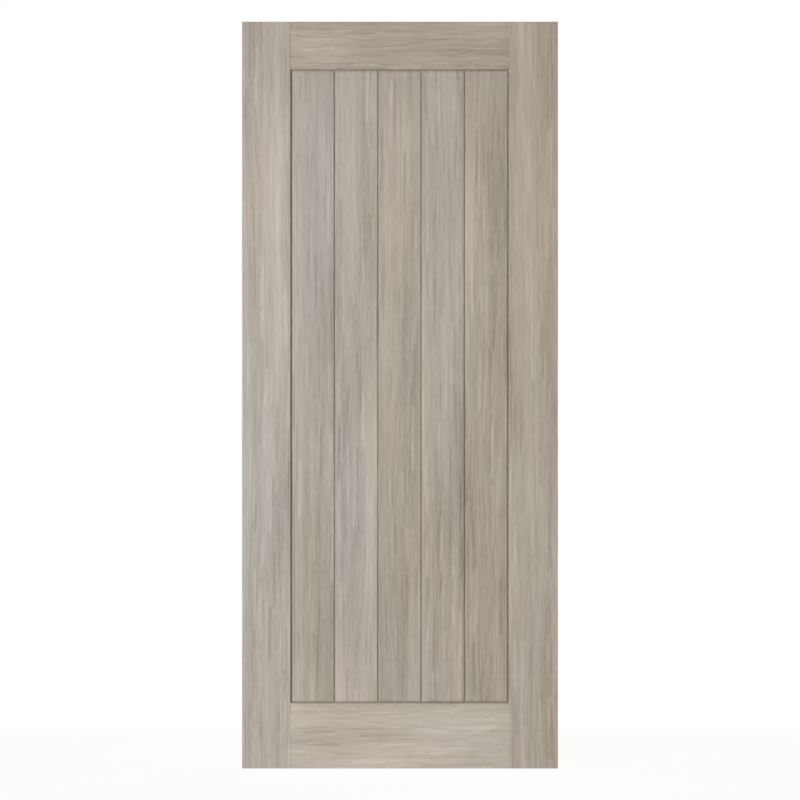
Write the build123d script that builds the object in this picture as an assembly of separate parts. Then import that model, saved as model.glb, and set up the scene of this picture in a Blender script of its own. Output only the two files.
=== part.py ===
# Leaf of an interior door: a frame of two stiles and two rails round a panel of vertical V-jointed boards.
# Both faces are alike. The leaf hangs from its left long edge, and the origin is at the foot of that edge.
# X runs across the leaf from the hinge edge, Y through its thickness (the front faces -Y), Z up.
# Units are millimetres. A depth is measured inwards from the front face.
import os

from build123d import *

# The leaf
leaf_width = 838.0
leaf_height = 1981.0
leaf_thickness = 35.0

# Frame members, each measured to the root of the groove round the panel
stile_width = 131.5
top_rail_width = 128.0
bottom_rail_width = 176.0
splay_width = 3.5  # steep bevel along a member's inner edge, seen from the front
lip_thickness = 1.0  # square edge between the foot of that splay and the back of the facing

# Long edges of the leaf
edge_band_thickness = 2.0
edge_band_round = 1.0
lipping_thickness = 8.0

# Panel of boards
board_count = 5
board_recess = 4.5  # depth of the boards' faces below the frame's faces
board_thickness = 9.0
vee_width = 3.5  # one flank of a V joint, seen from the front
vee_depth = 4.5
tongue_length = 5.0
tongue_thickness = 2.0
tongue_side_play = 0.1
tongue_end_play = 0.5

# Rim of the panel, in a groove between the frame's facings
panel_bite = 10.0  # how far the rim enters that groove
panel_end_play = 2.0

# Dowelled joints between rails and stiles, half of each dowel in either member
dowel_radius = 5.0
dowel_length = 100.0
dowel_side_play = 0.1
dowel_end_play = 2.0
dowel_margin = 30.0  # from a rail core's long edges to its outer dowels
top_rail_dowel_rows = 2
bottom_rail_dowel_rows = 3

# Places that follow from the sizes above
face = leaf_thickness / 2
root_depth = board_recess + vee_depth
facing_thickness = root_depth + lip_thickness
core_thickness = leaf_thickness - 2 * facing_thickness
board_back_depth = board_recess + board_thickness
panel_core_thickness = leaf_thickness - 2 * board_back_depth
opening_left = stile_width
opening_right = leaf_width - stile_width
opening_foot = bottom_rail_width
opening_head = leaf_height - top_rail_width
board_pitch = (opening_right - opening_left) / board_count
groove_depth = panel_bite + panel_end_play
stile_core_start = edge_band_thickness + lipping_thickness
stile_core_end = stile_width - groove_depth
mid_plane = Plane.XZ  # between the front and the back
centre_plane = Plane.YZ.offset(leaf_width / 2)  # between the left and the right
through_core = (-core_thickness / 2, core_thickness / 2)


def at_depth(depth):
    """Y of a plane that lies this deep below the front face."""
    return depth - face


def block(x_range, y_range, z_range):
    """Box between two corners, given as ranges along each axis."""
    (x0, x1), (y0, y1), (z0, z1) = x_range, y_range, z_range
    return Pos(x0, y0, z0) * Box(x1 - x0, y1 - y0, z1 - z0, align=(Align.MIN,) * 3)


def prism_up(outline, z_range):
    """Extrude an outline of (x, y) points from one height to another."""
    z0, z1 = z_range
    section = make_face(Polyline(*[(x, y, z0) for x, y in outline], close=True))
    return extrude(section, amount=z1 - z0, dir=(0, 0, 1))


def prism_across(outline, x_range):
    """Extrude an outline of (y, z) points from one side to another."""
    x0, x1 = x_range
    section = make_face(Polyline(*[(x0, y, z) for y, z in outline], close=True))
    return extrude(section, amount=x1 - x0, dir=(1, 0, 0))


def left_stile_facing():
    """Front facing of the left stile: flat, with a splay and a short lip along its inner edge."""
    outline = [
        (edge_band_thickness, at_depth(0)),
        (stile_width - splay_width, at_depth(0)),
        (stile_width, at_depth(root_depth)),
        (stile_width, at_depth(facing_thickness)),
        (edge_band_thickness, at_depth(facing_thickness)),
    ]
    return prism_up(outline, (0, leaf_height))


def rail_facing(outer_edge, inner_edge, stile_facings):
    """Front facing of a rail, its ends scribed over the splays of both stiles."""
    inwards = 1 if inner_edge > outer_edge else -1
    outline = [
        (at_depth(0), outer_edge),
        (at_depth(0), inner_edge - inwards * splay_width),
        (at_depth(root_depth), inner_edge),
        (at_depth(facing_thickness), inner_edge),
        (at_depth(facing_thickness), outer_edge),
    ]
    reach = stile_width - splay_width
    blank = prism_across(outline, (reach, leaf_width - reach))
    return blank - stile_facings


def left_edge_band():
    """Strip over the whole thickness of the leaf's left edge, with its two corners rounded."""
    strip = block((0, edge_band_thickness), (-face, face), (0, leaf_height))
    outer_corners = strip.edges().filter_by(Axis.Z).group_by(Axis.X)[0]
    return fillet(outer_corners, edge_band_round)


def left_lipping():
    """Strip between the edge band and the stile's core, hidden but for its ends."""
    return block((edge_band_thickness, stile_core_start), through_core, (0, leaf_height))


def dowel_heights(foot, head, rows):
    """Heights of a rail's dowels, spread evenly between its margins."""
    span = head - foot - 2 * dowel_margin
    return [foot + dowel_margin + span * row / (rows - 1) for row in range(rows)]


def rods(heights, length, radius):
    """Rods across the left joint between stile and rail, one at each height."""
    return [Pos(stile_core_end, 0, z) * Rot(0, 90, 0) * Cylinder(radius, length) for z in heights]


def dowel_holes(heights):
    """Bores for the dowels of the left joint, with room for glue."""
    length = dowel_length + 2 * dowel_end_play
    return rods(heights, length, dowel_radius + dowel_side_play)


def left_stile_core(heights):
    """Core of the left stile, bored for the dowels of both rails."""
    core = block((stile_core_start, stile_core_end), through_core, (0, leaf_height))
    return core - dowel_holes(heights)


def rail_core(foot, head, heights):
    """Core of a rail, butted between the stile cores and bored at both ends."""
    core = block((stile_core_end, leaf_width - stile_core_end), through_core, (foot, head))
    left_bores = dowel_holes(heights)
    right_bores = [mirror(bore, about=centre_plane) for bore in left_bores]
    return core - left_bores - right_bores


def rail_dowels(heights):
    """Dowels of a rail, as separate rods at both of its ends."""
    left = rods(heights, dowel_length, dowel_radius)
    return Compound(children=left + [mirror(rod, about=centre_plane) for rod in left])


def board_body(left, right, heights):
    """Board between two roots of V joints, with one flank of a V along each long edge."""
    outline = [
        (left, at_depth(root_depth)),
        (left + vee_width, at_depth(board_recess)),
        (right - vee_width, at_depth(board_recess)),
        (right, at_depth(root_depth)),
        (right, at_depth(board_back_depth)),
        (left, at_depth(board_back_depth)),
    ]
    return prism_up(outline, heights)


def front_board(index):
    """Front board: a tongue on its left, a groove on its right, and a thin rim where it meets the frame."""
    left = opening_left + index * board_pitch
    right = left + board_pitch
    heights = (opening_foot - panel_bite, opening_head + panel_bite)
    rim = (at_depth(facing_thickness), at_depth(board_back_depth))
    tongue_middle = (root_depth + board_back_depth) / 2
    tongue = (
        at_depth(tongue_middle - tongue_thickness / 2),
        at_depth(tongue_middle + tongue_thickness / 2),
    )
    slot = (tongue[0] - tongue_side_play, tongue[1] + tongue_side_play)
    board = board_body(left, right, heights)
    if index == 0:
        board += block((left - panel_bite, left), rim, heights)
    else:
        board += block((left - tongue_length, left), tongue, heights)
    if index == board_count - 1:
        board += block((right, right + panel_bite), rim, heights)
    else:
        board -= block((right - tongue_length - tongue_end_play, right), slot, heights)
    return board - board_end_cut(opening_foot, -1) - board_end_cut(opening_head, 1)


def board_end_cut(opening_edge, outwards):
    """What every board loses at an end: a flank like that of the V joints, and the rebate of its rim."""
    end = opening_edge + outwards * 2 * panel_bite
    outline = [
        (at_depth(0), opening_edge - outwards * vee_width),
        (at_depth(board_recess), opening_edge - outwards * vee_width),
        (at_depth(root_depth), opening_edge),
        (at_depth(facing_thickness), opening_edge),
        (at_depth(facing_thickness), end),
        (at_depth(0), end),
    ]
    return prism_across(outline, (0, leaf_width))


def panel_core():
    """Sheet between the front and the back boards, which enters the groove with their rims."""
    across = (opening_left - panel_bite, opening_right + panel_bite)
    through = (-panel_core_thickness / 2, panel_core_thickness / 2)
    up = (opening_foot - panel_bite, opening_head + panel_bite)
    return block(across, through, up)


def build_leaf():
    """Every piece of the leaf, by name."""
    top_rail_foot = opening_head + groove_depth
    bottom_rail_head = opening_foot - groove_depth
    top_dowels = dowel_heights(top_rail_foot, leaf_height, top_rail_dowel_rows)
    bottom_dowels = dowel_heights(0, bottom_rail_head, bottom_rail_dowel_rows)

    pieces = {
        "left_stile_core": left_stile_core(bottom_dowels + top_dowels),
        "left_lipping": left_lipping(),
        "left_edge_band": left_edge_band(),
        "left_stile_front_facing": left_stile_facing(),
    }
    for name in list(pieces):
        pieces[name.replace("left", "right")] = mirror(pieces[name], about=centre_plane)
    stile_facings = [pieces[side + "_stile_front_facing"] for side in ("left", "right")]

    pieces["top_rail_core"] = rail_core(top_rail_foot, leaf_height, top_dowels)
    pieces["bottom_rail_core"] = rail_core(0, bottom_rail_head, bottom_dowels)
    pieces["top_rail_dowels"] = rail_dowels(top_dowels)
    pieces["bottom_rail_dowels"] = rail_dowels(bottom_dowels)
    pieces["top_rail_front_facing"] = rail_facing(leaf_height, opening_head, stile_facings)
    pieces["bottom_rail_front_facing"] = rail_facing(0, opening_foot, stile_facings)
    pieces["panel_core"] = panel_core()
    for index in range(board_count):
        pieces[f"front_board_{index + 1}"] = front_board(index)

    for name in [name for name in pieces if "front" in name]:
        pieces[name.replace("front", "back")] = mirror(pieces[name], about=mid_plane)
    return pieces


os.makedirs("parts", exist_ok=True)
for name, piece in build_leaf().items():
    piece.label = name
    export_step(piece, f"parts/{name}.step")
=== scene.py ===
import math

import bmesh
import bpy
import numpy as np
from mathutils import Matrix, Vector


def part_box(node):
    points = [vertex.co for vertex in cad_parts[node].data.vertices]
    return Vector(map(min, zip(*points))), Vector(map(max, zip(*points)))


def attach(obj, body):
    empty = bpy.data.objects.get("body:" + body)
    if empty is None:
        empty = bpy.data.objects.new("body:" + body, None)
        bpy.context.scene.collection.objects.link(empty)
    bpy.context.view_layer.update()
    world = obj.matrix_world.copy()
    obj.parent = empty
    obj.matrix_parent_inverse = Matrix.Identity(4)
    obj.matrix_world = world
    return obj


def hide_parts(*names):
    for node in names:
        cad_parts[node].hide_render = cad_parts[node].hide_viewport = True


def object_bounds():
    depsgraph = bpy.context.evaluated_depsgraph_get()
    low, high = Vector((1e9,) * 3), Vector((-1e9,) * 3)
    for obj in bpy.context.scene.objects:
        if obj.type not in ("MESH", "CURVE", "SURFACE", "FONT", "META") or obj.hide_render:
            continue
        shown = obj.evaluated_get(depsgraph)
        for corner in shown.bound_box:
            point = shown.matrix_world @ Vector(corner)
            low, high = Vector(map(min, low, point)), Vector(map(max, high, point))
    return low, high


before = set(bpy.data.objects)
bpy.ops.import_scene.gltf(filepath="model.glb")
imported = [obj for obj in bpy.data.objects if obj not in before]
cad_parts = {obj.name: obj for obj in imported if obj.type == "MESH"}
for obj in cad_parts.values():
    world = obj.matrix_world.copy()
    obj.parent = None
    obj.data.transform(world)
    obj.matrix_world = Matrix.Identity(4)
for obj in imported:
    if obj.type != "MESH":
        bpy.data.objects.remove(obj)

# Everything is in metres. Across and along are measured square to the grain and with it, depth inwards from
# a face of the leaf. Shapes are worked out once for the front left and placed by mirroring.

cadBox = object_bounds()
leafWidth, faceY, leafHeight = cadBox[1]
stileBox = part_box("left_stile_front_facing")
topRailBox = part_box("top_rail_front_facing")
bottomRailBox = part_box("bottom_rail_front_facing")
facingDepth = stileBox[1].y - stileBox[0].y
print("frame loaded:", len(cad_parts), "nodes")

meshing = {
    "across": 0.0020,  # length of a face of the mesh
    "along": 0.009,
    "curve": 4,        # points on a softened corner
    "crease": 32.0,    # degrees between faces from which they are shaded apart
    "merge": 1e-6,
}
relief = {  # the pressed grain: each layer has a height, and a size across and along it
    "layers": ((0.00007, 0.011, 0.16), (0.00004, 0.0052, 0.07)),
    "deepest": 0.00016,
    "reach": 0.002,    # how far below the face, and how near the long edges, it fades
}
sheet = {  # places on the unit square of the map for baking
    "round": (0.004, 0.996),
    "rows": (0.03, 0.97),
    "ends": (0.002, 0.976),
    "endWidth": (0.01, 0.99),
    "endHeight": 0.022,
    "hiddenShare": 0.1,  # of its true length that the hidden back keeps
}


# Each corner of an outline becomes a curve from where its softness starts on one side to where it ends on the
# other: a mean of start, corner and end with weights (1-t)^2, 2t(1-t) and t^2. A side that shows is then
# divided into equal lengths of about the given step.
def softOutline(corners, step, closed):
    points, shows = [], []
    last = len(corners) - 1
    for k, (across, depth, softness, shown) in enumerate(corners):
        corner = np.array((across, depth))
        before = np.array(corners[k - 1][:2])
        after = np.array(corners[(k + 1) % len(corners)][:2])
        curve = corner[None]
        if softness and (closed or 0 < k < last):
            start = corner + softness * (before - corner) / np.linalg.norm(before - corner)
            end = corner + softness * (after - corner) / np.linalg.norm(after - corner)
            t = np.linspace(0, 1, meshing["curve"])[:, None]
            curve = (1 - t) ** 2 * start + 2 * t * (1 - t) * corner + t ** 2 * end
        points.append(curve)
        shows.append(shown)
    whole = []
    for k, curve in enumerate(points):
        whole.append(curve)
        if k == last and not closed:
            break
        start, end = curve[-1], points[(k + 1) % len(points)][0]
        if shows[k]:
            pieces = max(1, round(np.linalg.norm(end - start) / step))
            whole.append(start + (end - start) * np.linspace(0, 1, pieces + 1)[1:-1, None])
    return np.concatenate(whole)


# Smooth noise: a lattice of random numbers from -1 to 1, each value a mean of its four neighbours, with
# weights that rise as 3t^2 - 2t^3 between lattice lines.
def latticeNoise(across, along, acrossSize, alongSize, random):
    u, v = across / acrossSize, along / alongSize
    i, j = np.floor(u - u.min()).astype(int), np.floor(v - v.min()).astype(int)
    values = random.uniform(-1, 1, (j.max() + 2, i.max() + 2))
    s, t = (u - u.min()) - i, (v - v.min()) - j
    s, t = (s * s * (3 - 2 * s))[None], (t * t * (3 - 2 * t))[:, None]
    j, i = j[:, None], i[None]
    near = values[j, i] * (1 - s) + values[j, i + 1] * s
    far = values[j + 1, i] * (1 - s) + values[j + 1, i + 1] * s
    return near * (1 - t) + far * t


# Depth of the pressed grain over the surface: half the deepest plus the sum of the layers of noise, each
# times its height, held between nothing and the deepest.
def grainRelief(across, along, random):
    total = sum(height * latticeNoise(across, along, wide, long, random)
                for height, wide, long in relief["layers"])
    return np.clip(relief["deepest"] / 2 + total, 0, relief["deepest"])


# Share of the relief that a point keeps: its distance to the nearer long edge over the reach, at most one.
def eased(across):
    inside = np.minimum(across - across.min(), across.max() - across)
    return np.clip(inside / relief["reach"], 0, 1)


# Distance along a line of points from its first one: the running sum of the steps between them.
def runningLength(points):
    return np.concatenate(([0], np.cumsum(np.linalg.norm(np.diff(points, axis=0), axis=1))))


# A share from 0 to 1 laid over a range: low + share * (high - low).
def laidOver(share, ends):
    low, high = ends
    return low + share * (high - low)


# Place round the outline on the map for baking: the running sum of its steps over their total, with those of
# the hidden back counted at a part of their length.
def sheetPlace(outline, ringLength):
    back = outline[:, 1].max() - meshing["merge"]
    hidden = (outline[:, 1] > back) & (np.roll(outline[:, 1], -1) > back)
    counted = np.diff(ringLength) * np.where(hidden, sheet["hiddenShare"], 1.0)
    share = np.concatenate(([0], np.cumsum(counted)))
    return laidOver(share / share[-1], sheet["round"])


# Whether the faces point inwards: the volume, summed from corner products over the quads, is then negative.
def windsInwards(points, quads):
    a, b, c, d = (points[quads[:, k]] - points.mean(0) for k in range(4))
    return (np.einsum("ij,ij->i", a, np.cross(b, c)) + np.einsum("ij,ij->i", a, np.cross(c, d))).sum() < 0


# Points that lie within the merging distance of each other become one. Rows that meet along the hidden back
# leave such points, and faces of no area between them.
def mergeDoubles(mesh):
    working = bmesh.new()
    working.from_mesh(mesh)
    bmesh.ops.remove_doubles(working, verts=working.verts, dist=meshing["merge"])
    working.to_mesh(mesh)
    working.free()


# A solid swept along the grain: the outline (across, depth) is repeated at each row (along, depth), and a
# vertex lies at the deeper of the two depths, so flanks at the ends meet those of the sides in a mitre. The
# relief is added to it, times exp(-(depth below the face / reach)^2) and the eased share.
# place(across, depth, along) turns the grid into points of the leaf. The ends get the end material, and so
# does the side at across = sawnAcross, where there is one.
def sweptSolid(name, outline, rows, place, grain, endMaterial, sawnAcross=None):
    random = np.random.default_rng(grain["seed"])
    count, rowCount = len(outline), len(rows)
    across, along = outline[:, 0], rows[:, 0]
    ringStart = np.concatenate((outline, outline[:1]))
    ringLength, rowLength = runningLength(ringStart), runningLength(rows)
    depth = np.maximum(outline[None, :, 1], rows[:, 1:])
    faceDepth = outline[:, 1].min()
    below = depth - max(faceDepth, rows[:, 1].min())
    pressed = np.exp(-(below / relief["reach"]) ** 2) * eased(across)
    depth = depth + grainRelief(ringLength[:-1], rowLength, random) * pressed
    points = np.stack(place(across[None] + 0 * depth, depth, along[:, None] + 0 * depth), -1).reshape(-1, 3)

    # Quads between neighbouring rows, and one face over each end
    j, i = np.meshgrid(np.arange(rowCount - 1), np.arange(count), indexing="ij")
    follow = (i + 1) % count
    quads = np.stack((j * count + i, j * count + follow, (j + 1) * count + follow, (j + 1) * count + i), -1)
    quads = quads.reshape(-1, 4)
    ends = [np.arange(count)[::-1], (rowCount - 1) * count + np.arange(count)]
    cornerRing = np.stack((i, i + 1, i + 1, i), -1).reshape(-1)
    cornerRow = np.stack((j, j, j + 1, j + 1), -1).reshape(-1)
    if windsInwards(points, quads):
        quads = quads[:, ::-1]
        cornerRing, cornerRow = (c.reshape(-1, 4)[:, ::-1].reshape(-1) for c in (cornerRing, cornerRow))
        ends = [end[::-1] for end in ends]
    mesh = bpy.data.meshes.new(name)
    mesh.from_pydata(points.tolist(), [], quads.tolist() + [end.tolist() for end in ends])

    # Map "grain" unrolls the surface in metres, from a place in the decor of its own. Map "OFBake" unrolls it
    # over the unit square, with the hidden back narrow and the two ends in strips of their own.
    start = random.uniform(0, decor["extent"], 2)
    ringPlace = sheetPlace(outline, ringLength)
    rowPlace = laidOver(rowLength / rowLength[-1], sheet["rows"])
    endRing = np.concatenate(ends) % count
    endPlace = laidOver((outline[endRing, 0] - across.min()) / np.ptp(across), sheet["endWidth"])
    endDepth = (outline[endRing, 1] - faceDepth) / np.ptp(outline[:, 1])
    strip = np.repeat(sheet["ends"], count) + endDepth * sheet["endHeight"]
    grainSides = np.stack((ringLength[cornerRing], rowLength[cornerRow]), -1)
    sheetSides = np.stack((ringPlace[cornerRing], rowPlace[cornerRow]), -1)
    maps = {
        "grain": (grainSides + start, outline[endRing] + start),
        "OFBake": (sheetSides, np.stack((endPlace, strip), -1)),
    }
    for layer, parts in maps.items():
        mesh.uv_layers.new(name=layer).data.foreach_set("uv", np.concatenate(parts).ravel())
    mesh.attributes.new("tone", "FLOAT_VECTOR", "POINT").data.foreach_set(
        "vector", np.tile(grain["tone"], len(points)))
    mesh.attributes.new("contrast", "FLOAT", "POINT").data.foreach_set(
        "value", np.full(len(points), grain["contrast"]))

    mesh.materials.append(laminate)
    mesh.materials.append(endMaterial)
    sawn = (across == sawnAcross) & (np.roll(across, -1) == sawnAcross)
    slots = np.concatenate((np.tile(sawn, rowCount - 1), (True, True))).astype(np.int32)
    mesh.polygons.foreach_set("material_index", slots)
    mergeDoubles(mesh)
    mesh.shade_smooth()
    mesh.set_sharp_from_angle(angle=math.radians(meshing["crease"]))
    mesh.validate()
    piece = bpy.data.objects.new(name, mesh)
    bpy.context.scene.collection.objects.link(piece)
    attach(piece, "root")
    return piece


flat = 1e6         # size of a patch along an axis that a pattern doesn't use
noiseSwing = 4.0   # noise mostly lies within a quarter of its mean, so times this it reaches from -1 to 1


# One shader node: an input is linked where its value is another node's socket, and set where it isn't.
def node(tree, kind, inputs=None, **settings):
    made = tree.nodes.new("ShaderNode" + kind)
    for name, value in settings.items():
        setattr(made, name, value)
    for key, value in (inputs or {}).items():
        if isinstance(value, bpy.types.NodeSocket):
            tree.links.new(value, made.inputs[key])
        else:
            made.inputs[key].default_value = value
    return made


# A material with nothing in its tree yet.
def freshMaterial(name):
    material = bpy.data.materials.new(name)
    material.use_nodes = True
    material.node_tree.nodes.clear()
    return material, material.node_tree


# The operation applied to the values in their order.
def maths(tree, operation, *values):
    return node(tree, "Math", dict(enumerate(values)), operation=operation).outputs[0]


# Mean of two colours, with weights 1 - share and share.
def blend(tree, share, first, second):
    mix = node(tree, "Mix", {"Factor": share, "A": first, "B": second}, data_type="RGBA")
    return mix.outputs["Result"]


# Noise in patches of the given size across and along the grain, less its mean of a half.
def patches(tree, place, size, detail=0.0):
    scaled = node(tree, "VectorMath", {0: place, 1: [1 / s for s in size]}, operation="MULTIPLY").outputs[0]
    noise = node(tree, "TexNoise", {"Vector": scaled, "Scale": 1.0, "Detail": detail, "Roughness": 0.5},
                 noise_dimensions="2D" if size[2] == flat else "3D")
    return maths(tree, "SUBTRACT", noise.outputs["Fac"], 0.5)


# Place moved across the grain: place + noise in patches of the given size * swing * reach * share.
def moved(tree, place, wide, long, reach, share):
    shift = maths(tree, "MULTIPLY", patches(tree, place, (wide, long, flat)), reach * noiseSwing)
    shift = node(tree, "CombineXYZ", {"X": maths(tree, "MULTIPLY", shift, share)}).outputs[0]
    return node(tree, "VectorMath", {0: place, 1: shift}, operation="ADD").outputs[0]


# The start plus the sum of each pattern times its weight.
def weighted(tree, parts, start):
    total = start
    for pattern, weight in parts:
        total = maths(tree, "MULTIPLY_ADD", pattern, weight, total)
    return total


# A matt surface, its normal leaning by the slope of the height times the depth of the bump.
def finish(tree, colour, roughness, height, bumpDepth, specular):
    bump = node(tree, "Bump", {"Strength": 1.0, "Distance": bumpDepth, "Height": height})
    shader = node(tree, "BsdfPrincipled", {"Base Color": colour, "Roughness": roughness,
                                           "Specular IOR Level": specular, "Normal": bump.outputs[0]})
    node(tree, "OutputMaterial", {"Surface": shader.outputs[0]})


decor = {
    "extent": 40.0,                       # side of the sheet of decor from which the members are cut
    "olive": (0.421, 0.386, 0.323, 1.0),
    "pink": (0.447, 0.392, 0.350, 1.0),
    "warmed": (1.0, 0.94, 0.83, 1.0),     # what a wholly warm member's colour is multiplied by
    "wander": ((0.10, 0.90, 0.010), (0.035, 0.25, 0.0025)),  # patch across, along, and how far it moves
    "patterns": {                         # patch across, along, and weight
        "clouds": (0.22, 0.60, 0.36),
        "bands": (0.055, 1.4, 0.33),
        "veins": (0.020, 0.60, 0.13),
        "streaks": (0.0085, 0.30, 0.08),
        "fibres": (0.0011, 0.11, 0.24),
        "flecks": (0.0075, 0.050, 0.08),
        "pores": (0.0006, 0.022, -0.10),
        "hue": (0.07, 0.50, 1.45),        # between olive and pink
        "tan": (0.16, 0.75, (0.04, -0.05, -0.16)),  # a warmer tone: weight of red, green and blue
    },
    "plain": ("veins", "streaks", "flecks"),  # patterns without a finer layer of noise
    "shading": ("clouds", "bands", "veins", "streaks", "fibres", "flecks"),
    "shadeHue": (1.0, 1.05, 1.13),        # what a darker fibre loses of red, green and blue
    "poresInBands": -0.35,                # how much denser the pores are where the bands are dark
    "poreRange": (0.10, 0.26),            # values of the noise between which a pore opens
    "stripSpacing": (0.018, 1.2, 0.003),  # patch across, along, and how far the strips' spacing varies
    "strips": ((0.0104, 0.300, 0.07), (0.0057, 0.170, 0.17), (0.0037, 0.085, 0.15)),  # width, length, weight
    "stripShift": 7.0,                    # lengths that a column of strips is shifted by, at most
    "stripEnd": 0.125,                    # share of a strip's length over which it fades
    "roughness": 0.56,
    "roughened": {"fibres": -0.25, "pores": 0.12},
    "raised": {"fibres": 1.2, "strips": 0.6, "pores": -0.9},
    "pressDepth": 0.00012,
    "specular": 0.35,
}


# Straight strips in columns. Column number is the floor of across / width, and each column is shifted along
# by a random amount. Each strip has a random number c from -1 to 1 and gives c cubed, so that few stand out,
# times 4s(1-s) over its width and with soft ends.
def strips(tree, place, width, length):
    axes = node(tree, "SeparateXYZ", {"Vector": place})
    across = maths(tree, "DIVIDE", axes.outputs["X"], width)
    column = maths(tree, "FLOOR", across)
    s = maths(tree, "SUBTRACT", across, column)
    start = node(tree, "TexWhiteNoise", {"W": column}, noise_dimensions="1D").outputs["Value"]
    lengths = maths(tree, "DIVIDE", axes.outputs["Y"], length)
    along = maths(tree, "MULTIPLY_ADD", start, decor["stripShift"], lengths)
    row = maths(tree, "FLOOR", along)
    t = maths(tree, "SUBTRACT", along, row)
    cell = node(tree, "CombineXYZ", {"X": column, "Y": row}).outputs[0]
    chance = node(tree, "TexWhiteNoise", {"Vector": cell}, noise_dimensions="2D").outputs["Value"]
    c = maths(tree, "MULTIPLY_ADD", chance, 2.0, -1.0)
    cubed = maths(tree, "MULTIPLY", maths(tree, "MULTIPLY", c, c), c)
    crown = maths(tree, "MULTIPLY", maths(tree, "MULTIPLY", s, 4.0), maths(tree, "SUBTRACT", 1.0, s))
    nearEnd = maths(tree, "MINIMUM", t, maths(tree, "SUBTRACT", 1.0, t))
    softEnds = node(tree, "MapRange", {"Value": nearEnd, "From Min": 0.0, "From Max": decor["stripEnd"]},
                    interpolation_type="SMOOTHSTEP").outputs[0]
    return maths(tree, "MULTIPLY", maths(tree, "MULTIPLY", cubed, crown), softEnds)


# The decor of every facing and board. shade = (sum of pattern * weight) * contrast, light = shade * shadeHue
# + 1 + tan * its weights, and colour = blend of olive and pink * warmth * light * brightness.
def makeLaminate():
    material, tree = freshMaterial("greyWoodLaminate")
    tone = node(tree, "Attribute", attribute_name="tone").outputs["Vector"]
    tone = node(tree, "SeparateXYZ", {"Vector": tone})
    brightness, warmth, wander = (tone.outputs[axis] for axis in "XYZ")
    contrast = node(tree, "Attribute", attribute_name="contrast").outputs["Fac"]
    grain = node(tree, "UVMap", uv_map="grain").outputs[0]
    # The grain wanders: each layer moves the place sideways before the next pattern reads it
    for patch in decor["wander"]:
        grain = moved(tree, grain, *patch, wander)
    spaced = moved(tree, grain, *decor["stripSpacing"], 1.0)
    layer, weight = {}, {}
    for key, (wide, long, share) in decor["patterns"].items():
        layer[key] = patches(tree, grain, (wide, long, flat), 0.0 if key in decor["plain"] else 1.0)
        weight[key] = share
    # Pores are the darkest part of a fine noise, denser where the bands are dark
    nearDark = maths(tree, "MULTIPLY_ADD", layer["bands"], decor["poresInBands"], layer["pores"])
    shut, opened = decor["poreRange"]
    pores = node(tree, "MapRange", {"Value": nearDark, "From Min": shut, "From Max": opened}).outputs[0]
    lines = [(strips(tree, spaced, width, length), share) for width, length, share in decor["strips"]]

    shade = weighted(tree, [(layer[key], weight[key]) for key in decor["shading"]], 0.0)
    shade = weighted(tree, lines + [(pores, weight["pores"])], shade)
    shade = maths(tree, "MULTIPLY", shade, contrast)
    light = node(tree, "VectorMath", {0: shade, 1: decor["shadeHue"], 2: (1, 1, 1)},
                 operation="MULTIPLY_ADD").outputs[0]
    light = node(tree, "VectorMath", {0: layer["tan"], 1: weight["tan"], 2: light},
                 operation="MULTIPLY_ADD").outputs[0]
    hue = maths(tree, "MULTIPLY_ADD", layer["hue"], weight["hue"], 0.5)
    colour = blend(tree, hue, decor["olive"], decor["pink"])
    for factor in (blend(tree, warmth, (1, 1, 1, 1), decor["warmed"]), light):
        colour = node(tree, "VectorMath", {0: colour, 1: factor}, operation="MULTIPLY").outputs[0]
    colour = node(tree, "VectorMath", {0: colour, "Scale": brightness}, operation="SCALE").outputs[0]

    up, rough = decor["raised"], decor["roughened"]
    fine = [(line, up["strips"]) for line, share in lines[1:]]
    height = weighted(tree, [(layer["fibres"], up["fibres"])] + fine + [(pores, up["pores"])], 0.5)
    roughness = weighted(tree, [(layer["fibres"], rough["fibres"]), (pores, rough["pores"])],
                         decor["roughness"])
    finish(tree, colour, roughness, height, decor["pressDepth"], decor["specular"])
    return material


fibreboard = {
    "pale": (0.300, 0.205, 0.115, 1.0),
    "dark": (0.200, 0.128, 0.068, 1.0),
    "skin": (0.24, 0.215, 0.19, 1.0),  # the decorative skin is the thin line at each face
    "skinThickness": 0.0004,
    "fleck": (0.0016, 1.6),            # size and weight
    "fluff": (0.0004, 1.2),
    "roughness": 0.85,
    "roughened": 0.3,
    "bumpDepth": 0.0002,
    "specular": 0.2,
}


# Sawn edge of a facing: dark to pale by 0.5 + the sum of noise * weight, and skin within its thickness of
# either face.
def makeFibreboard():
    board = fibreboard
    material, tree = freshMaterial("sawnFibreboard")
    place = node(tree, "TexCoord").outputs["Object"]
    (fleckSize, fleckWeight), (fluffSize, fluffWeight) = board["fleck"], board["fluff"]
    fleck = patches(tree, place, (fleckSize,) * 3, 2.0)
    fluff = patches(tree, place, (fluffSize,) * 3, 1.0)
    mix = weighted(tree, [(fleck, fleckWeight), (fluff, fluffWeight)], 0.5)
    y = node(tree, "SeparateXYZ", {"Vector": place}).outputs["Y"]
    skin = maths(tree, "GREATER_THAN", maths(tree, "ABSOLUTE", y), faceY - board["skinThickness"])
    colour = blend(tree, skin, blend(tree, mix, board["dark"], board["pale"]), board["skin"])
    roughness = weighted(tree, [(fleck, board["roughened"])], board["roughness"])
    finish(tree, colour, roughness, mix, board["bumpDepth"], board["specular"])
    return material


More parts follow.
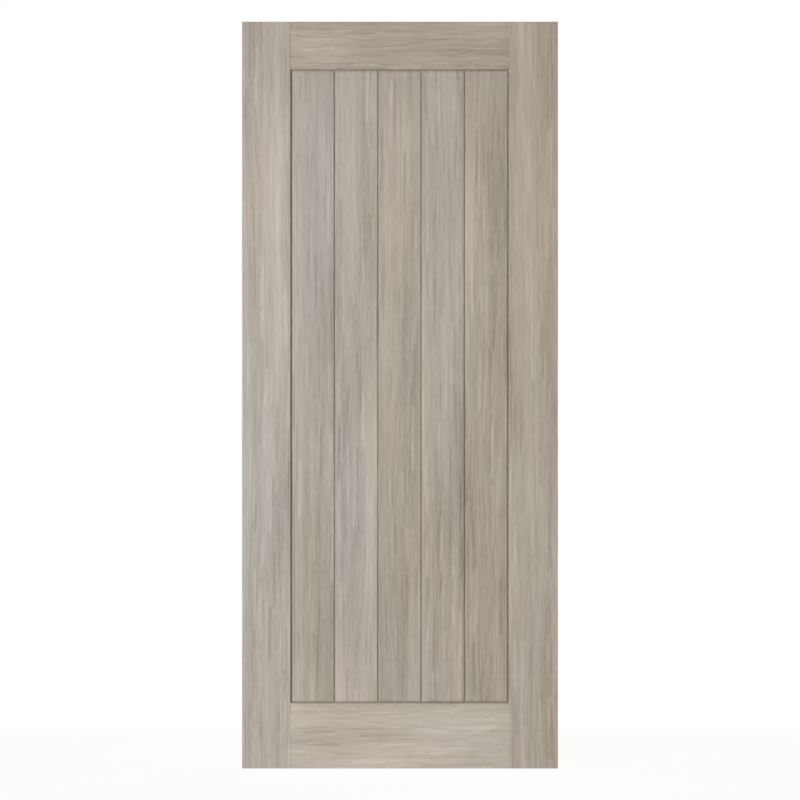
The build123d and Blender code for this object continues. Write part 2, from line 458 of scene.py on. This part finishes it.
ply = {  # softwood in glued plies, seen at the sawn head and foot of the leaf
    "pale": (0.560, 0.385, 0.205, 1.0),
    "dark": (0.360, 0.210, 0.095, 1.0),
    "glue": (0.120, 0.070, 0.035, 1.0),
    "thickness": 0.0034,
    "glueShare": 0.05,       # of a ply's thickness, at each of its sides
    "rings": {"X": (0.9, 0.0016, 0.004), "Z": (0.0045, 0.0016, 0.9)},  # patch, by the axis of the grain
    "fineness": 5,           # how many times smaller the fibres are
    "weights": (2.2, 0.9, 0.35),  # of rings, fibres and the ply's own tone
    "middle": 0.35,
    "roughness": 0.72,
    "roughened": 0.3,
    "bumpDepth": 0.0002,
    "specular": 0.3,
}


# Plies: number is the floor of y / thickness + 0.5, and each one reads the wood at its place plus a random
# vector. Dark to pale by middle + the sum of pattern * weight, and glue where a ply ends.
def makePlies(name, grainAxis):
    material, tree = freshMaterial(name)
    place = node(tree, "TexCoord").outputs["Object"]
    y = node(tree, "SeparateXYZ", {"Vector": place}).outputs["Y"]
    level = maths(tree, "ADD", maths(tree, "DIVIDE", y, ply["thickness"]), 0.5)
    index = maths(tree, "FLOOR", level)
    within = maths(tree, "SUBTRACT", level, index)
    chance = node(tree, "TexWhiteNoise", {"W": index}, noise_dimensions="1D")
    ownPlace = node(tree, "VectorMath", {0: place, 1: chance.outputs["Color"]}, operation="ADD").outputs[0]
    size = ply["rings"][grainAxis]
    rings = patches(tree, ownPlace, size, 2.0)
    fibres = patches(tree, ownPlace, tuple(s / ply["fineness"] for s in size), 1.0)
    mix = weighted(tree, zip((rings, fibres, chance.outputs["Value"]), ply["weights"]), ply["middle"])
    edge = maths(tree, "MINIMUM", within, maths(tree, "SUBTRACT", 1.0, within))
    glue = maths(tree, "LESS_THAN", edge, ply["glueShare"])
    colour = blend(tree, glue, blend(tree, mix, ply["dark"], ply["pale"]), ply["glue"])
    roughness = weighted(tree, [(fibres, ply["roughened"])], ply["roughness"])
    finish(tree, colour, roughness, mix, ply["bumpDepth"], ply["specular"])
    return material


solidWoods = {  # colours, and the patch of their rings along each axis
    "planedSoftwoodLipping": {"pale": (0.62, 0.44, 0.25, 1.0), "dark": (0.42, 0.26, 0.12, 1.0),
                              "rings": (0.0030, 0.012, 0.8)},
    "beechDowel": {"pale": (0.62, 0.43, 0.27, 1.0), "dark": (0.44, 0.27, 0.15, 1.0),
                   "rings": (0.25, 0.0012, 0.0012)},
    "panelFibreboard": {"pale": (0.30, 0.21, 0.12, 1.0), "dark": (0.21, 0.135, 0.07, 1.0),
                        "rings": (0.002, 0.002, 0.002)},
}
solidGrain = {
    "fineness": 6,
    "weights": (2.4, 1.0),  # of rings and fibres
    "roughness": 0.7,
    "roughened": 0.3,
    "bumpDepth": 0.00015,
    "specular": 0.3,
}


# Plain wood: dark to pale by 0.5 + the sum of rings and fibres * their weights.
def makeSolidWood(name):
    wood, g = solidWoods[name], solidGrain
    material, tree = freshMaterial(name)
    place = node(tree, "TexCoord").outputs["Object"]
    rings = patches(tree, place, wood["rings"], 2.0)
    fibres = patches(tree, place, tuple(s / g["fineness"] for s in wood["rings"]), 1.0)
    mix = weighted(tree, zip((rings, fibres), g["weights"]), 0.5)
    roughness = weighted(tree, [(fibres, g["roughened"])], g["roughness"])
    finish(tree, blend(tree, mix, wood["dark"], wood["pale"]), roughness, mix, g["bumpDepth"], g["specular"])
    return material


laminate, sawnEnd = makeLaminate(), makeFibreboard()
stilePlies, railPlies = makePlies("stilePlies", "Z"), makePlies("railPlies", "X")
lippingWood, dowelWood = makeSolidWood("planedSoftwoodLipping"), makeSolidWood("beechDowel")
cadFinishes = {
    "left_stile_core": stilePlies, "right_stile_core": stilePlies,
    "top_rail_core": railPlies, "bottom_rail_core": railPlies,
    "left_lipping": lippingWood, "right_lipping": lippingWood,
    "top_rail_dowels": dowelWood, "bottom_rail_dowels": dowelWood,
    "panel_core": makeSolidWood("panelFibreboard"),
}
for nodeName, material in cadFinishes.items():
    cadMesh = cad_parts[nodeName].data
    cadMesh.materials.clear()
    cadMesh.materials.append(material)
print("materials made:", len(bpy.data.materials))


# Seed of the random numbers that place a member in the decor, then its brightness, warmth, wander and
# contrast.
memberGrain = {
    "leftStile": (341, 1.045, 0.0, 0.4, 0.98),
    "rightStile": (482, 1.02, 0.45, 0.3, 1.0),
    "topRail": (83, 1.025, 0.75, 0.6, 1.0),
    "bottomRail": (804, 1.135, 0.2, 0.25, 0.78),
    "leftBand": (9, 1.07, 0.0, 0.2, 1.0),
    "rightBand": (10, 1.01, 0.5, 0.2, 1.0),
    "board1": (471, 0.965, 0.0, 0.3, 0.98),
    "board2": (432, 1.025, 0.0, 0.2, 1.07),
    "board3": (313, 0.98, 0.2, 0.3, 1.0),
    "board4": (274, 0.995, 0.25, 0.2, 1.16),
    "board5": (735, 0.9, 0.47, 0.4, 1.22),
}
backSeeds = 1000  # added to a member's seed for its piece at the back


# Grain of a member's piece on one face of the leaf: seed + backSeeds at the back, and the same tones.
def grainOf(member, face):
    seed, brightness, warmth, wander, contrast = memberGrain[member]
    more = backSeeds if face == "back" else 0
    return {"seed": seed + more, "tone": (brightness, warmth, wander), "contrast": contrast}


# Words run together, each but the first with a capital.
def camel(*words):
    return words[0] + "".join(word.capitalize() for word in words[1:])


# Upright members: x is across, or the leaf's width less across on the right. y is the depth less half the
# leaf's thickness, with its sign changed at the back. z is along.
def placed(side, front):
    def place(across, depth, along):
        x = across if side == "left" else leafWidth - across
        y = depth - faceY if front else faceY - depth
        return x, y, along
    return place


frameMember = {
    "splayWidth": 0.0035,      # the steep bevel beside the groove, seen from the front
    "splayDepth": 0.009,
    "splaySoftness": 0.0010,   # how far the rounding of its upper edge reaches
    "footSoftness": 0.0002,
    "jointSoftness": 0.00025,  # eased edges at the butt joints and at the sawn ends
}


# Rails lie across, and their ends follow the stiles' splays: x runs from x0 to the leaf's width less x0,
# where x0 is the splay's upper edge plus the depth times its slope. z is across, or the leaf's height less
# across.
def placedRail(top, front):
    stileEdge = stileBox[1].x - frameMember["splayWidth"]
    slope = frameMember["splayWidth"] / frameMember["splayDepth"]

    def place(across, depth, along):
        x0 = stileEdge + np.minimum(depth, frameMember["splayDepth"]) * slope
        x = x0 + along * (leafWidth - 2 * x0)
        y = depth - faceY if front else faceY - depth
        z = leafHeight - across if top else across
        return x, y, z
    return place


# Flat from the outer edge to the splay, down the splay to its lip, and back along the hidden side.
def memberOutline(outer, inner):
    m = frameMember
    return softOutline((
        (outer, 0, m["jointSoftness"], True),
        (inner - m["splayWidth"], 0, m["splaySoftness"], True),
        (inner, m["splayDepth"], m["footSoftness"], True),
        (inner, facingDepth, 0, False),
        (outer, facingDepth, 0, True),
    ), meshing["across"], True)


# Rows from one sawn end to the other, with a chamfer as deep as it is long at each.
def sawnRows(length):
    soft = frameMember["jointSoftness"]
    return softOutline(((0, soft, 0, True), (soft, 0, 0, True), (length - soft, 0, 0, True),
                        (length, soft, 0, True)), meshing["along"], False)


railLength = leafWidth - 2 * stileBox[1].x + 2 * frameMember["splayWidth"]
for face in ("front", "back"):
    for side in ("left", "right"):
        piece = sweptSolid(
            camel(side, "stile", face), memberOutline(stileBox[0].x, stileBox[1].x), sawnRows(leafHeight),
            placed(side, face == "front"), grainOf(camel(side, "stile"), face), sawnEnd)
        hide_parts(f"{side}_stile_{face}_facing")
    for which, box in (("top", topRailBox), ("bottom", bottomRailBox)):
        piece = sweptSolid(
            camel(which, "rail", face), memberOutline(0, box[1].z - box[0].z),
            sawnRows(railLength) / (railLength, 1), placedRail(which == "top", face == "front"),
            grainOf(camel(which, "rail"), face), sawnEnd, sawnAcross=0.0)
        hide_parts(f"{which}_rail_{face}_facing")
print("stiles and rails made")


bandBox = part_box("left_edge_band")
edgeBand = {
    "thickness": bandBox[1].x - bandBox[0].x,
    "rounding": 0.001,
    "jointSoftness": 0.00015,
}


# Outer face with two rounded corners. Here depth runs through the whole thickness of the leaf.
def bandOutline():
    b = edgeBand
    through = 2 * faceY
    return softOutline((
        (b["thickness"], 0, b["jointSoftness"], True),
        (b["thickness"], through, b["jointSoftness"], True),
        (0, through, b["rounding"], True),
        (0, 0, b["rounding"], True),
    ), meshing["across"], True)


for side in ("left", "right"):
    piece = sweptSolid(camel(side, "edge", "band"), bandOutline(), sawnRows(leafHeight) * (1, 0),
                       placed(side, True), grainOf(camel(side, "band"), "front"), laminate)
    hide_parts(f"{side}_edge_band")
print("edge bands made")


panelBoard = {
    "count": 5,
    "recess": 0.0045,         # how far a board's face lies below the frame's face
    "flankWidth": 0.0035,     # one flank of a V joint
    "flankDepth": 0.0045,
    "flankSoftness": 0.0006,
    "tongueThickness": 0.002,
    "tongueLength": 0.005,
    "slotPlay": 0.0001,
    "slotEndPlay": 0.0005,
}


# Face and two flanks, then the right edge (slot, or rim at the frame), the back, and the left edge (tongue,
# or rim at the frame).
def boardOutline(left, right, first, last, box):
    b = panelBoard
    root, back = b["recess"] + b["flankDepth"], box[1].y - box[0].y + b["recess"]
    middle = (root + back) / 2
    half = b["tongueThickness"] / 2
    corners = [
        (left, root, 0, True),
        (left + b["flankWidth"], b["recess"], b["flankSoftness"], True),
        (right - b["flankWidth"], b["recess"], b["flankSoftness"], True),
        (right, root, 0, True),
    ]
    if last:
        hidden = [(right, facingDepth), (box[1].x, facingDepth), (box[1].x, back)]
    else:
        play, bottom = half + b["slotPlay"], right - b["tongueLength"] - b["slotEndPlay"]
        hidden = [(right, middle - play), (bottom, middle - play), (bottom, middle + play),
                  (right, middle + play), (right, back)]
    if first:
        hidden += [(box[0].x, back), (box[0].x, facingDepth), (left, facingDepth)]
    else:
        tip = left - b["tongueLength"]
        hidden += [(left, back), (left, middle + half), (tip, middle + half), (tip, middle - half),
                   (left, middle - half)]
    return softOutline(corners + [(*point, 0, False) for point in hidden], meshing["across"], True)


# Rim inside the frame's groove, lip, flank and face, from the foot of the board to its head.
def boardRows(low, high, foot, head):
    b = panelBoard
    root = b["recess"] + b["flankDepth"]
    corners = ((low, facingDepth, 0, False), (foot, facingDepth, 0, False), (foot, root, 0, True),
               (foot + b["flankWidth"], b["recess"], b["flankSoftness"], True),
               (head - b["flankWidth"], b["recess"], b["flankSoftness"], True),
               (head, root, 0, False), (head, facingDepth, 0, False), (high, facingDepth, 0, False))
    return softOutline(corners, meshing["along"], False)


pitch = (leafWidth - 2 * stileBox[1].x) / panelBoard["count"]
for face in ("front", "back"):
    for k in range(panelBoard["count"]):
        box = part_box(f"{face}_board_{k + 1}")
        left = stileBox[1].x + k * pitch
        outline = boardOutline(left, left + pitch, k == 0, k == panelBoard["count"] - 1, box)
        rows = boardRows(box[0].z, box[1].z, bottomRailBox[1].z, topRailBox[0].z)
        piece = sweptSolid(camel(face, "board", str(k + 1)), outline, rows, placed("left", face == "front"),
                           grainOf(f"board{k + 1}", face), laminate)
        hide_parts(f"{face}_board_{k + 1}")
print("boards made:", 2 * panelBoard["count"])


studio = {
    "air": 0.145,            # light from all round
    "floorColour": (0.80, 0.80, 0.79),
    "floorMottle": (0.5, 0.02),  # size and weight of its faint patches
    "floorLevel": -0.0005,
    "floorReach": 30.0,
    "whiteShare": 0.62,      # how much of the floor's white doesn't depend on the light, beside the leaf
    "whiteStrength": 1.42,
    "fade": (1.2, 5.0),      # distances from the leaf between which the floor turns wholly white
}
leafCentre = (0.42, 0.0, 0.95)
lamps = {  # place, size and power of each soft box, and the point that it faces
    "key": ((-4.35, -7.63, 0.45), (2.2, 0.8), 597.0, leafCentre),
    "lowFill": ((0.42, -2.2, 0.12), (2.4, 0.2), 5.0, (0.42, 0.0, 0.8)),
    "backKey": ((5.19, 7.63, 0.45), (2.2, 0.8), 597.0, leafCentre),
    "backLowFill": ((0.42, 2.2, 0.12), (2.4, 0.2), 5.0, (0.42, 0.0, 0.8)),
    "overhead": ((0.42, 0.0, 4.2), (1.6, 0.5), 16.0, (0.42, 0.0, 0.0)),
}


# One for a ray that comes from the camera, by way of a shiny or clear surface or not, and nothing for others.
def seenRay(tree):
    path = node(tree, "LightPath")
    seen = maths(tree, "MAXIMUM", path.outputs["Is Camera Ray"], path.outputs["Is Glossy Ray"])
    return maths(tree, "MAXIMUM", seen, path.outputs["Is Transmission Ray"])


# Matt floor mixed with a white of its own: share and strength go from those beside the leaf to one as a
# smooth step of the distance from the leaf, and only seen rays get the white.
def makeFloor():
    material, tree = freshMaterial("paleFloor")
    place = node(tree, "TexCoord").outputs["Object"]
    size, weight = studio["floorMottle"]
    mottle = patches(tree, place, (size, size, flat), 2.0)
    tint = maths(tree, "MULTIPLY_ADD", mottle, weight, 1.0)
    colour = node(tree, "VectorMath", {0: studio["floorColour"], "Scale": tint}, operation="SCALE")
    matt = node(tree, "BsdfDiffuse", {"Color": colour.outputs[0]})
    fromLeaf = node(tree, "VectorMath", {0: place, 1: (leafWidth / 2, 0, 0)}, operation="DISTANCE")
    near, wholly = studio["fade"]
    far = node(tree, "MapRange", {"Value": fromLeaf.outputs["Value"], "From Min": near, "From Max": wholly},
               interpolation_type="SMOOTHSTEP").outputs[0]
    strength, share = (maths(tree, "MULTIPLY_ADD", far, 1.0 - studio[key], studio[key])
                       for key in ("whiteStrength", "whiteShare"))
    white = node(tree, "Emission", {"Color": (1, 1, 1, 1), "Strength": strength})
    seen = maths(tree, "MULTIPLY", seenRay(tree), share)
    mixed = node(tree, "MixShader", {0: seen, 1: matt.outputs[0], 2: white.outputs[0]})
    node(tree, "OutputMaterial", {"Surface": mixed.outputs[0]})
    return material


# White air: a strength of one for seen rays, and the studio's own for those that light things.
def makeWorld():
    world = bpy.data.worlds.new("studioAir")
    world.use_nodes = True
    tree = world.node_tree
    tree.nodes.clear()
    strength = maths(tree, "MULTIPLY_ADD", seenRay(tree), 1.0 - studio["air"], studio["air"])
    air = node(tree, "Background", {"Color": (1, 1, 1, 1), "Strength": strength})
    node(tree, "OutputWorld", {"Surface": air.outputs[0]})
    bpy.context.scene.world = world


# Turns the thing's -Z towards the target: its tilt from straight down is the angle whose tangent is level
# distance over drop, and its turn is that of the level way.
def facing(thing, place, target):
    way = np.subtract(target, place)
    thing.location = place
    thing.rotation_euler = (math.atan2(math.hypot(way[0], way[1]), -way[2]), 0, math.atan2(-way[0], way[1]))


reach, level = studio["floorReach"], studio["floorLevel"]
floorMesh = bpy.data.meshes.new("floor")
floorMesh.from_pydata([(x, y, level) for x, y in ((-reach, -reach), (reach, -reach), (reach, reach),
                                                  (-reach, reach))], [], [(0, 1, 2, 3)])
floorMesh.materials.append(makeFloor())
floor = bpy.data.objects.new("floor", floorMesh)
bpy.context.scene.collection.objects.link(floor)
makeWorld()
for name, (place, size, power, target) in lamps.items():
    lamp = bpy.data.lights.new(name, "AREA")
    lamp.shape = "RECTANGLE"
    lamp.size, lamp.size_y = size
    lamp.energy = power
    lampObject = bpy.data.objects.new(name, lamp)
    lampObject.visible_camera = False
    bpy.context.scene.collection.objects.link(lampObject)
    facing(lampObject, place, target)

photo = {"size": 800, "leafHeight": 746.8, "leafMiddle": 395.1}  # pixels
camera = {"lens": 200.0, "sensor": 36.0, "clipEnd": 200.0}
metresPerPixel = leafHeight / photo["leafHeight"]
viewWidth = metresPerPixel * photo["size"]
distance = viewWidth * camera["lens"] / camera["sensor"]
eyeHeight = leafHeight / 2 + (photo["leafMiddle"] - photo["size"] / 2) * metresPerPixel
eye = bpy.data.cameras.new("eye")
eye.lens, eye.sensor_width, eye.clip_end = camera["lens"], camera["sensor"], camera["clipEnd"]
eyeObject = bpy.data.objects.new("eye", eye)
bpy.context.scene.collection.objects.link(eyeObject)
facing(eyeObject, (leafWidth / 2, -faceY - distance, eyeHeight), (leafWidth / 2, 0, eyeHeight))
bpy.context.scene.camera = eyeObject
bpy.context.scene.view_settings.view_transform = "Standard"
print("studio made")
